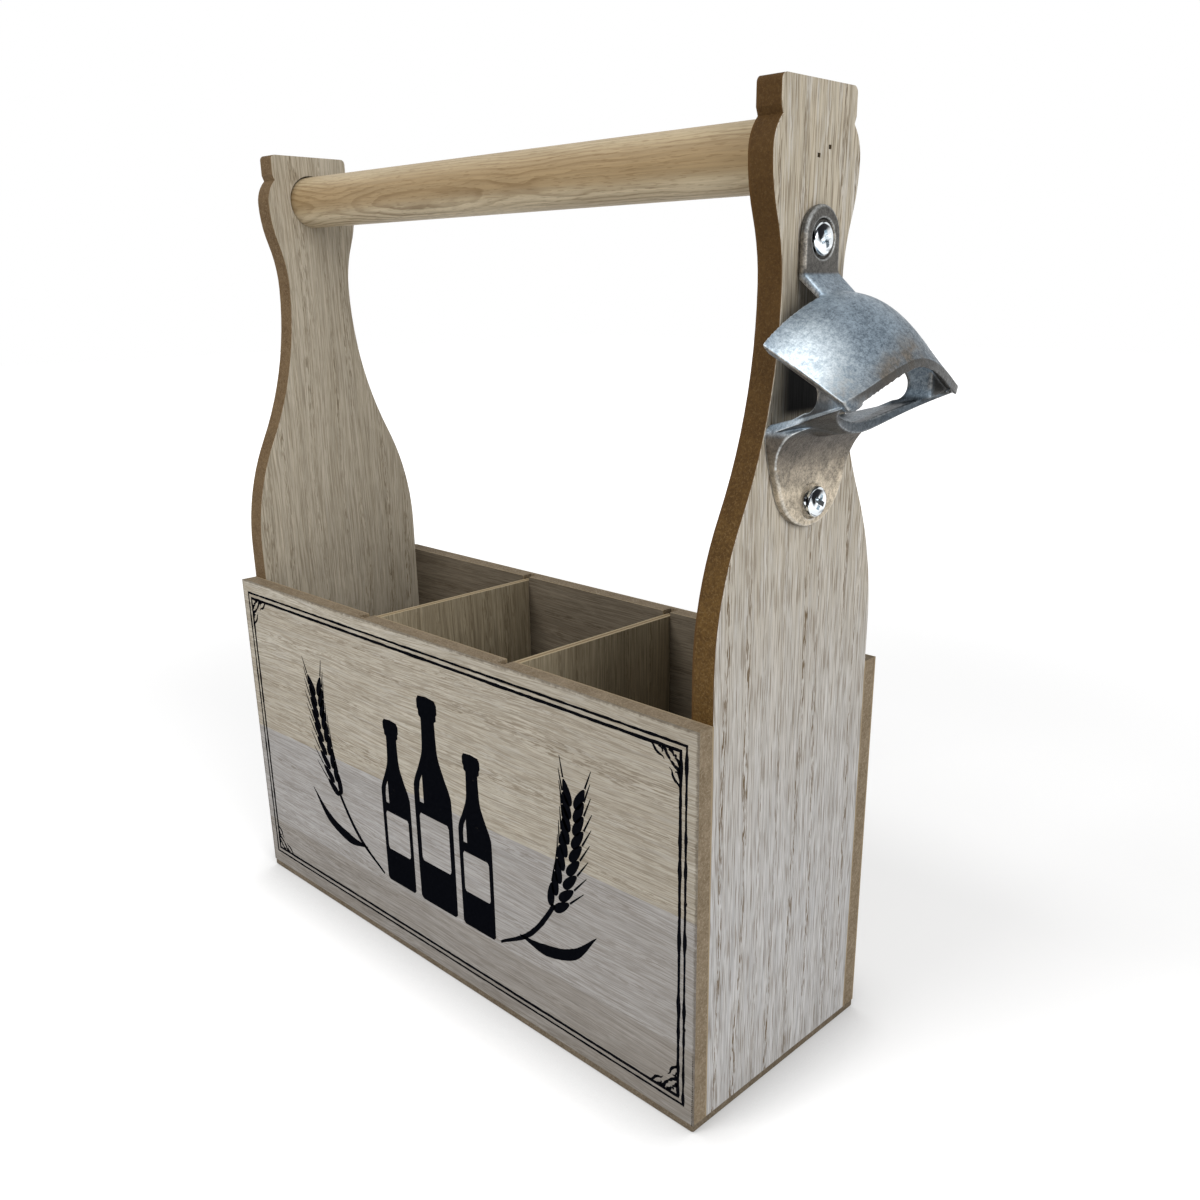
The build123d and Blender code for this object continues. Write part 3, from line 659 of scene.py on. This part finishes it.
wearing = {
    "baseBoard": ["base_panel"], "wallCore": ["front_panel_core", "back_panel_core"],
    "frontVeneer": ["front_panel_outer_veneer"], "backOuterVeneer": ["back_panel_outer_veneer"],
    "wallInnerVeneer": ["front_panel_inner_veneer", "back_panel_inner_veneer"],
    "leftEndCore": ["left_end_core"], "leftOuterVeneer": ["left_end_outer_veneer"],
    "leftInnerVeneer": ["left_end_inner_veneer"], "rightEndCore": ["right_end_core"],
    "rightOuterVeneer": ["right_end_outer_veneer"], "rightInnerVeneer": ["right_end_inner_veneer"],
    "dividerPly": ["left_divider", "right_divider"], "dowelWood": ["handle_dowel"],
    "castZinc": ["bottle_opener"], "brightChrome": ["upper_opener_screw", "lower_opener_screw"],
    "bradSteel": ["front_panel_brads", "back_panel_brads", "left_handle_brads", "right_handle_brads",
                  "base_brads"],
}


def wear(thing, finish):
    thing.data.materials.clear()
    thing.data.materials.append(finishes[finish])


for finish, names in wearing.items():
    for name in names:
        wear(nodes[name], finish)
print("finishes made:", len(finishes))


def newThing(name, data):
    thing = bpy.data.objects.new(name, data)
    bpy.context.scene.collection.objects.link(thing)
    return thing


def meshOf(name, shape):
    mesh = bpy.data.meshes.new(name)
    shape.to_mesh(mesh)
    shape.free()
    return mesh


def settled(thing):
    # the mesh that a curve or a thing with modifiers comes out as
    bpy.context.view_layer.update()
    return bpy.data.meshes.new_from_object(thing.evaluated_get(bpy.context.evaluated_depsgraph_get()))


printing = {
    "face": -45.5, "film": 0.03,     # where the front's face lies and how thick the ink is, in mm
    "outerRule": {"half": 122.8, "low": 8.8, "high": 131.5, "width": 0.85},
    "innerRule": {"half": 120.6, "low": 11.0, "high": 129.3, "width": 1.1},
    "ragged": 0.09,                  # unevenness of the print's edges
    "thinnest": 0.03,                # least half width of a drawn line
    "blots": (0.0, 0.35, 0.1, 0.2),  # extra ink on the lower, right, upper and left lines
    "seed": 11,
}
chance = random.Random(printing["seed"])


def smoothLine(points, steps=8):
    # a smooth run through the given points
    pts = [Vector((p[0], p[1])) for p in points]
    pts = [pts[0] * 2 - pts[1]] + pts + [pts[-1] * 2 - pts[-2]]
    out = []
    for i in range(1, len(pts) - 2):
        a, b, c, d = pts[i - 1:i + 3]
        for s in range(steps):
            t = s / steps
            out.append(0.5 * ((2 * b) + (c - a) * t + (2 * a - 5 * b + 4 * c - d) * t * t
                              + (3 * b - a - 3 * c + d) * t ** 3))
    out.append(pts[-2].copy())
    return out


def ribbon(points, widths, rough=0.0):
    # a closed outline round a line whose width changes along it
    count = len(points)
    left, right = [], []
    for i, p in enumerate(points):
        ahead = points[min(i + 1, count - 1)] - points[max(i - 1, 0)]
        side = Vector((-ahead.y, ahead.x)).normalized()
        share = i / (count - 1) * (len(widths) - 1)
        k = min(int(share), len(widths) - 2)
        half = (widths[k] + (widths[k + 1] - widths[k]) * (share - k)) / 2
        left.append(p + side * max(half + chance.uniform(-rough, rough), printing["thinnest"]))
        right.append(p - side * max(half + chance.uniform(-rough, rough), printing["thinnest"]))
    return left + right[::-1]


def inkMesh(outlines):
    # closed outlines in mm on the front's face become one thin film of ink; one inside another is a hole
    curve = bpy.data.curves.new("draft", "CURVE")
    curve.dimensions = "2D"
    curve.fill_mode = "BOTH"
    curve.extrude = printing["film"] * mm
    for outline in outlines:
        spline = curve.splines.new("POLY")
        spline.points.add(len(outline) - 1)
        for point, at in zip(spline.points, outline):
            point.co = (at[0] * mm, at[1] * mm, 0, 1)
        spline.use_cyclic_u = True
    drawn = newThing("draft", curve)
    # the sheet stands up on the front: its Y becomes Z
    front = Matrix.Translation((0, printing["face"] * mm, 0))
    drawn.matrix_world = front @ Matrix.Rotation(math.radians(90), 4, "X")
    mesh = settled(drawn)
    mesh.transform(drawn.matrix_world)
    bpy.data.objects.remove(drawn)
    return mesh


def printed(name, figures):
    # several figures, each a list of outlines, as one piece of print
    joined = bmesh.new()
    for outlines in figures:
        joined.from_mesh(inkMesh(outlines))
    thing = newThing(name, meshOf(name, joined))
    wear(thing, "printInk")
    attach(thing, "caddy")


def rule(r, rough):
    # a rectangle of four lines as an outer and an inner outline, both a little uneven
    def loop(grow):
        left, right = -r["half"] - grow, r["half"] + grow
        low, high = r["low"] - grow, r["high"] + grow
        corners = [(left, low), (right, low), (right, high), (left, high)]
        out = []
        for i, a in enumerate(corners):
            b = corners[(i + 1) % 4]
            steps, outX, outZ = ((120, 0, -1), (90, 1, 0), (120, 0, 1), (90, -1, 0))[i]
            blot = printing["blots"][i] * (1 if grow > 0 else -1)
            for s in range(steps):
                t = s / steps
                push = blot * max(0.0, math.sin(t * 47 + i) * math.sin(t * 19 + 2 * i)) if s else 0
                x = a[0] + (b[0] - a[0]) * t + chance.uniform(-rough, rough)
                z = a[1] + (b[1] - a[1]) * t + chance.uniform(-rough, rough)
                out.append((x + push * outX, z + push * outZ))
        return out
    return [loop(r["width"] / 2), loop(-r["width"] / 2)]


def flourish():
    # leaf curls along the two arms of a corner, in mm from the inner rule's corner
    arm = [
        ([(11.8, 0.2), (10.6, 0.9), (9.6, 2.2), (8.4, 3.0), (7.0, 3.4), (6.2, 4.3)],
         [0.25, 0.8, 1.0, 0.9, 0.5, 0.2]),
        ([(8.6, 0.5), (7.4, 1.0), (6.9, 1.7), (7.3, 2.2)], [0.7, 0.6, 0.5, 0.2]),
        ([(7.2, 0.4), (5.9, 1.1), (5.3, 2.3), (4.5, 3.1), (3.9, 4.1)], [0.9, 1.3, 1.0, 1.1, 0.3]),
        ([(4.6, 0.4), (3.5, 0.9), (2.9, 1.6), (2.8, 2.4)], [1.2, 1.2, 0.8, 0.25]),
    ]
    out = []
    for points, widths in arm:
        out.append(ribbon(smoothLine(points), widths, 0.06))
        out.append(ribbon(smoothLine([(z, x) for x, z in points]), widths, 0.06))
    dot = [(2.0 + 0.55 * math.cos(t * math.pi / 6), 2.0 + 0.55 * math.sin(t * math.pi / 6))
           for t in range(12)]
    return out + [dot]


printed("outerRule", [rule(printing["outerRule"], printing["ragged"])])
printed("innerRule", [rule(printing["innerRule"], printing["ragged"])])
inner = printing["innerRule"]
for name, sideX, sideZ in (("lowerLeft", 1, 1), ("lowerRight", -1, 1),
                           ("upperLeft", 1, -1), ("upperRight", -1, -1)):
    x0 = -sideX * inner["half"]
    z0 = inner["low"] if sideZ > 0 else inner["high"]
    curls = [[[(x0 + sideX * p[0], z0 + sideZ * p[1]) for p in curl]] for curl in flourish()]
    printed(name + "Flourish", curls)

# remains of a line down the front's right edge, denser towards its foot; sizes in mm
wornLine = {"x": 126.55, "low": 3.0, "high": 30.0, "specks": 34, "width": 0.5, "crowding": 1.15}


def speck(x, z, wide, tall):
    # an uneven blot with eight corners
    out = []
    for k in range(8):
        t = k / 8 * 2 * math.pi
        out.append((x + wide / 2 * math.cos(t) * chance.uniform(0.6, 1),
                    z + tall / 2 * math.sin(t) * chance.uniform(0.6, 1)))
    return out


figures = []
for k in range(wornLine["specks"]):
    share = (k / wornLine["specks"]) ** wornLine["crowding"]
    z = wornLine["low"] + (wornLine["high"] - wornLine["low"]) * share
    figures.append([speck(wornLine["x"] + chance.uniform(-0.08, 0.08), z,
                          wornLine["width"] * chance.uniform(0.5, 1.1), chance.uniform(0.3, 0.9))])
printed("wornEdgeLine", figures)

motif = {
    "bottles": [(-24.0, 29.0, 1.1), (0.0, 29.0, 1.34), (24.0, 29.0, 1.1)],   # place and size of each
    "earFoot": (36.0, 30.0), "earSize": 1.2, "grains": 9, "grainLength": 9.4, "grainWidth": 4.4,
}


def bottle(x, z, size):
    # half of a bottle's outline from the foot up, with a label and a streak left bare
    side = [(0, 0), (7.4, 0), (8.4, 1.0), (8.5, 12), (8.5, 33), (8.0, 37.5), (5.6, 42.5), (3.6, 47.5),
            (3.1, 53), (3.0, 57.5)]
    right = [Vector(p) for p in side[:3]] + smoothLine(side[3:], 5)
    cap = [(3.9, 58.2), (3.9, 59.6), (4.4, 60.2), (4.4, 62.6), (3.6, 63.8), (0, 64.2)]
    whole = right + [Vector(p) for p in cap]
    outline = whole + [Vector((-p.x, p.y)) for p in whole[::-1][1:]]
    label = [(-6.0, 13), (6.0, 13), (6.6, 14), (6.6, 27), (6.0, 28), (-6.0, 28), (-6.6, 27), (-6.6, 14)]
    streak = [(-4.2, 31.5), (-4.2, 40.2), (-5.4, 38.0), (-6.0, 35.0), (-6.0, 31.5)]
    return [[(x + p[0] * size, z + p[1] * size) for p in shape]
            for shape in (outline, label, streak)]


def drop(at, angle, length, width):
    # a grain: pointed at both ends, fuller below the middle
    out = []
    for i in range(24):
        t = i / 24 * 2 * math.pi
        along = (1 - math.cos(t)) / 2
        across = math.sin(t) * width / 2 * (1 - 0.45 * along)
        reach = along * length
        out.append(Vector(at) + Vector((reach * math.cos(angle) - across * math.sin(angle),
                                        reach * math.sin(angle) + across * math.cos(angle))))
    return out


def barleyEar(side):
    # a bowed stalk with a leaf, paired grains and thin whiskers
    x0, z0 = motif["earFoot"]
    k = motif["earSize"]
    stalk = ((0, 0), (14, 9), (25, 24), (31, 42), (33, 58))
    line = smoothLine([(x0 + x * k, z0 + z * k) for x, z in stalk], 12)
    shapes = [ribbon(line[:24], [1.0, 2.0, 1.8], 0.06)]
    for i in range(motif["grains"]):
        j = min(22 + i * 3, len(line) - 2)
        ahead = line[j + 1] - line[j - 1]
        angle = math.atan2(ahead.y, ahead.x)
        normal = Vector((-math.sin(angle), math.cos(angle)))
        for way in (1, -1):
            root = line[j] + normal * way * 1.0
            turn = angle + way * 0.42
            shapes.append(drop(root, turn, motif["grainLength"], motif["grainWidth"]))
            tip = root + Vector((math.cos(turn), math.sin(turn))) * (motif["grainLength"] + 0.4)
            end = tip + Vector((math.cos(turn - way * 0.12), math.sin(turn - way * 0.12))) * (9.0 - i * 0.2)
            shapes.append(ribbon([tip, (tip + end) / 2, end], [0.8, 0.6, 0.25]))
    leaf = smoothLine([(x0 + x * k, z0 + z * k) for x, z in ((9, 6.4), (20, 6.0), (32, 10), (41, 19))], 10)
    shapes.append(ribbon(leaf, [0.4, 4.6, 4.0, 0.3], 0.05))
    return [[[(side * p[0], p[1]) for p in shape]] for shape in shapes]


for i, (x, z, size) in enumerate(motif["bottles"]):
    printed(f"printedBottle{i + 1}", [bottle(x, z, size)])
for name, side in (("left", -1), ("right", 1)):
    printed(name + "BarleyEar", barleyEar(side))
print("print laid on the front")


screwHead = {     # sizes in mm
    "width": 8.8, "height": 1.9, "rim": 0.7, "slotWidth": 1.5, "slotLength": 5.0, "slotDepth": 1.7,
    "shank": 4.0, "pitch": 0.45, "sides": 64, "domeSteps": 12,
}


def lathe(name, profile, sides):
    # profile is a list of (radius, height) from the bottom middle to the top middle
    shape = bmesh.new()
    turns = [2 * math.pi * k / sides for k in range(sides)]
    rows = []
    for r, h in profile:
        ring = [(r * math.cos(t), r * math.sin(t), h) for t in turns] if r else [(0, 0, h)]
        rows.append([shape.verts.new(at) for at in ring])
    for a, b in zip(rows, rows[1:]):
        for k in range(sides):
            n = (k + 1) % sides
            if len(a) == 1:
                shape.faces.new((a[0], b[n], b[k]))
            elif len(b) == 1:
                shape.faces.new((a[k], a[n], b[0]))
            else:
                shape.faces.new((a[k], a[n], b[n], b[k]))
    bmesh.ops.recalc_face_normals(shape, faces=shape.faces)
    return newThing(name, meshOf(name, shape))


def cutAway(thing, tool):
    trim = thing.modifiers.new("cut", "BOOLEAN")
    trim.operation = "DIFFERENCE"
    trim.solver = "EXACT"
    trim.object = tool
    data = settled(thing)
    thing.modifiers.clear()
    thing.data = data
    bpy.data.objects.remove(tool)


def wedge(length, width, depth, top):
    # a tapering cutter, narrow at its foot
    shape = bmesh.new()
    corners = ((-1, -1), (1, -1), (1, 1), (-1, 1))
    a = [shape.verts.new((x * length * 0.3, y * width * 0.35, top - depth)) for x, y in corners]
    b = [shape.verts.new((x * length / 2, y * width / 2, top + 0.3 * mm)) for x, y in corners]
    shape.faces.new(a[::-1])
    shape.faces.new(b)
    for k in range(4):
        n = (k + 1) % 4
        shape.faces.new((a[k], a[n], b[n], b[k]))
    bmesh.ops.recalc_face_normals(shape, faces=shape.faces)
    return newThing("cutter", meshOf("cutter", shape))


def makeScrew(name, node, spin):
    low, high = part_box(node)
    s = screwHead
    top = high.x - low.x
    seat = top - s["height"] * mm
    r, shank = s["width"] / 2 * mm, s["shank"] / 2 * mm
    rim = s["rim"] * mm
    profile = [(0, 0), (shank * 0.4, 0.6 * mm)]
    # the thread as close rings on the shank, smaller towards the point
    for k in range(int((seat - 1.6 * mm) / (s["pitch"] * mm))):
        cut = 0.86 if k % 2 else 1.0
        profile.append((shank * cut * min(1.0, 0.5 + k * 0.12), 0.8 * mm + k * s["pitch"] * mm))
    profile += [(shank, seat - 0.3 * mm), (shank, seat)]
    profile += [(r * 0.97, seat), (r, seat + 0.1 * mm), (r, seat + rim)]
    # the domed top
    for k in range(1, s["domeSteps"]):
        t = k / s["domeSteps"] * math.pi / 2
        profile.append((r * math.cos(t) ** 0.75, seat + rim + (top - seat - rim) * math.sin(t)))
    profile.append((0, seat + rim + (top - seat - rim)))
    thing = lathe(name, profile, s["sides"])
    for turn in (spin, spin + math.pi / 2):
        tool = wedge(s["slotLength"] * mm, s["slotWidth"] * mm, s["slotDepth"] * mm, top)
        tool.matrix_world = Matrix.Rotation(turn, 4, "Z")
        bpy.context.view_layer.update()
        cutAway(thing, tool)
    middle = (low + high) / 2
    seated = Matrix.Translation((low.x, middle.y, middle.z))
    thing.data.transform(seated @ Matrix.Rotation(math.radians(90), 4, "Y"))
    thing.data.shade_smooth()
    thing.data.set_sharp_from_angle(angle=math.radians(35))
    wear(thing, "brightChrome")
    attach(thing, "caddy")
    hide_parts(node)


makeScrew("upperScrew", "upper_opener_screw", 0.35)
makeScrew("lowerScrew", "lower_opener_screw", 1.1)
print("screws made")


mould = {
    "grain": 0.24, "ease": 0.5, "passes": 25,     # voxel in mm, and how much the skin is eased
    "spread": 14,                                 # reach of the look for edges and hollows, in steps
    # balls of metal in the two front corners, where the hood's lip meets the cup: x, y, z and radius in mm
    "fillets": [(156.2, -26.0, 224.7, 1.0), (156.5, -25.0, 224.9, 1.2), (156.8, -23.8, 225.1, 1.2),
                (157.0, -22.6, 225.4, 1.1), (157.2, -21.6, 225.7, 0.9),
                (157.0, 22.2, 225.5, 0.7), (156.7, 22.9, 225.3, 0.7)],
}


def standsOut(mesh):
    # how far each point stands out of its surroundings, in mm: more than nothing on edges, less in hollows
    count = len(mesh.vertices)
    at, normal = np.empty(count * 3), np.empty(count * 3)
    mesh.vertices.foreach_get("co", at)
    mesh.vertices.foreach_get("normal", normal)
    at, normal = at.reshape(-1, 3), normal.reshape(-1, 3)
    ends = np.empty(len(mesh.edges) * 2, dtype=np.int32)
    mesh.edges.foreach_get("vertices", ends)
    a, b = ends.reshape(-1, 2).T
    neighbours = np.bincount(a, minlength=count) + np.bincount(b, minlength=count)
    eased = at.copy()
    for _ in range(mould["spread"]):
        total = np.stack([np.bincount(a, eased[b, k], count) + np.bincount(b, eased[a, k], count)
                          for k in range(3)], 1)
        eased = (eased + total / neighbours[:, None]) / 2
    return ((at - eased) * normal).sum(1) / mm


def softenCasting():
    # the casting's own shape with its edges rounded over, as a mould leaves them
    shape = bmesh.new()
    shape.from_mesh(nodes["bottle_opener"].data)
    for x, y, z, radius in mould["fillets"]:
        middle = Matrix.Translation((x * mm, y * mm, z * mm))
        bmesh.ops.create_icosphere(shape, subdivisions=3, radius=radius * mm, matrix=middle)
    thing = newThing("openerCasting", meshOf("openerCasting", shape))
    remesh = thing.modifiers.new("skin", "REMESH")
    remesh.mode = "VOXEL"
    remesh.voxel_size = mould["grain"] * mm
    smooth = thing.modifiers.new("ease", "SMOOTH")
    smooth.factor = mould["ease"]
    smooth.iterations = mould["passes"]
    data = settled(thing)
    thing.modifiers.clear()
    thing.data = data
    data.attributes.new("standsOut", "FLOAT", "POINT").data.foreach_set("value", standsOut(data))
    data.shade_smooth()
    wear(thing, "castZinc")
    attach(thing, "caddy")
    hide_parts("bottle_opener")


softenCasting()
print("casting softened")


studio = {
    "floor": paint(228, 228, 228), "half": 4.0,    # the floor's half width in metres
    "lift": 0.42,                           # how much plain white the floor shows to the camera
    "fadeFrom": 0.35, "fadeTo": 1.1,        # where it turns plain white, in metres from the middle
    "contact": 0.03, "contactDark": 0.7,    # reach of the soft contact shadow round the foot, made in the floor's shader by an occlusion node, and its depth
    "fill": 0.36,                           # light from all round
    "key": ((-0.35, -1.3, 1.3), 0.9, 17.0),     # place, width, power in watts
    "side": ((1.45, -0.35, 0.75), 0.9, 13.0),
    "aim": (0, 0, 0.13),                        # what both lamps point at
}


def plainlySeen(tree):
    # 1 where something is looked at, straight or in a reflection, and 0 where it only lights
    path = put(tree, "ShaderNodeLightPath").outputs
    return most(tree, path["Is Glossy Ray"], path["Is Transmission Ray"], path["Is Camera Ray"])


def makeFloor():
    mesh = bpy.data.meshes.new("floor")
    half = studio["half"]
    corners = [(-half, -half, 0), (half, -half, 0), (half, half, 0), (-half, half, 0)]
    mesh.from_pydata(corners, [], [(0, 1, 2, 3)])
    floor = newThing("floor", mesh)
    floor.location.z = -0.05 * mm
    material = bpy.data.materials.new("paleFloor")
    tree = emptyTree(material)
    away = put(tree, "ShaderNodeVectorMath", {0: place(tree)}, operation="LENGTH").outputs["Value"]
    lift = spread(tree, away, studio["fadeFrom"], studio["fadeTo"], studio["lift"], 1.0)
    contactOcclusion = put(tree, "ShaderNodeAmbientOcclusion", {"Distance": studio["contact"]}, samples=8).outputs["AO"]
    shaded = spread(tree, contactOcclusion, 0.5, 1.0, studio["contactDark"], 1.0)
    matte = put(tree, "ShaderNodeBsdfDiffuse", {
        "Color": vectorMath(tree, "SCALE", studio["floor"][:3], shaded)})
    glow = put(tree, "ShaderNodeEmission", {
        "Color": (1, 1, 1, 1), "Strength": times(tree, plainlySeen(tree), lift, shaded)})
    both = put(tree, "ShaderNodeAddShader", {0: matte.outputs[0], 1: glow.outputs[0]})
    put(tree, "ShaderNodeOutputMaterial", {"Surface": both.outputs[0]})
    mesh.materials.append(material)


def makeWorld():
    world = bpy.data.worlds.new("studio")
    bpy.context.scene.world = world
    tree = emptyTree(world)
    strength = plus(tree, times(tree, plainlySeen(tree), 1.0 - studio["fill"]), studio["fill"])
    sky = put(tree, "ShaderNodeBackground", {"Color": (1, 1, 1, 1), "Strength": strength})
    put(tree, "ShaderNodeOutputWorld", {"Surface": sky.outputs[0]})


def makeLamp(name, at, width, power):
    data = bpy.data.lights.new(name, "AREA")
    data.shape = "DISK"
    data.size = width
    data.energy = power
    lamp = newThing(name, data)
    lamp.location = at
    ahead = Vector(studio["aim"]) - Vector(at)
    lamp.rotation_euler = ahead.to_track_quat("-Z", "Y").to_euler()


makeFloor()
makeWorld()
makeLamp("keyLamp", *studio["key"])
makeLamp("sideLamp", *studio["side"])

view = {
    "place": (0.31004, -0.26582, 0.25458), "azimuth": 44.2335, "elevation": 18.6347, "roll": -0.5822,
    "lens": 33.468, "sensor": 36.0, "shift": (-0.0137, 0.0497), "nearest": 0.01,
}


def makeCamera():
    a, e, r = (math.radians(view[k]) for k in ("azimuth", "elevation", "roll"))
    back = Vector((math.sin(a) * math.cos(e), -math.cos(a) * math.cos(e), math.sin(e)))
    right = Vector((math.cos(a), math.sin(a), 0))
    up = back.cross(right)
    # the small roll turns both round the line of sight
    right, up = math.cos(r) * right + math.sin(r) * up, -math.sin(r) * right + math.cos(r) * up
    data = bpy.data.cameras.new("camera")
    data.sensor_width = view["sensor"]
    data.lens = view["lens"]
    data.shift_x, data.shift_y = view["shift"]
    data.clip_start = view["nearest"]
    camera = newThing("camera", data)
    turn = Matrix((right, up, back)).transposed().to_4x4()
    camera.matrix_world = Matrix.Translation(view["place"]) @ turn
    bpy.context.scene.camera = camera


makeCamera()
bpy.context.scene.view_settings.view_transform = "Standard"
print("floor, lamps and camera set")
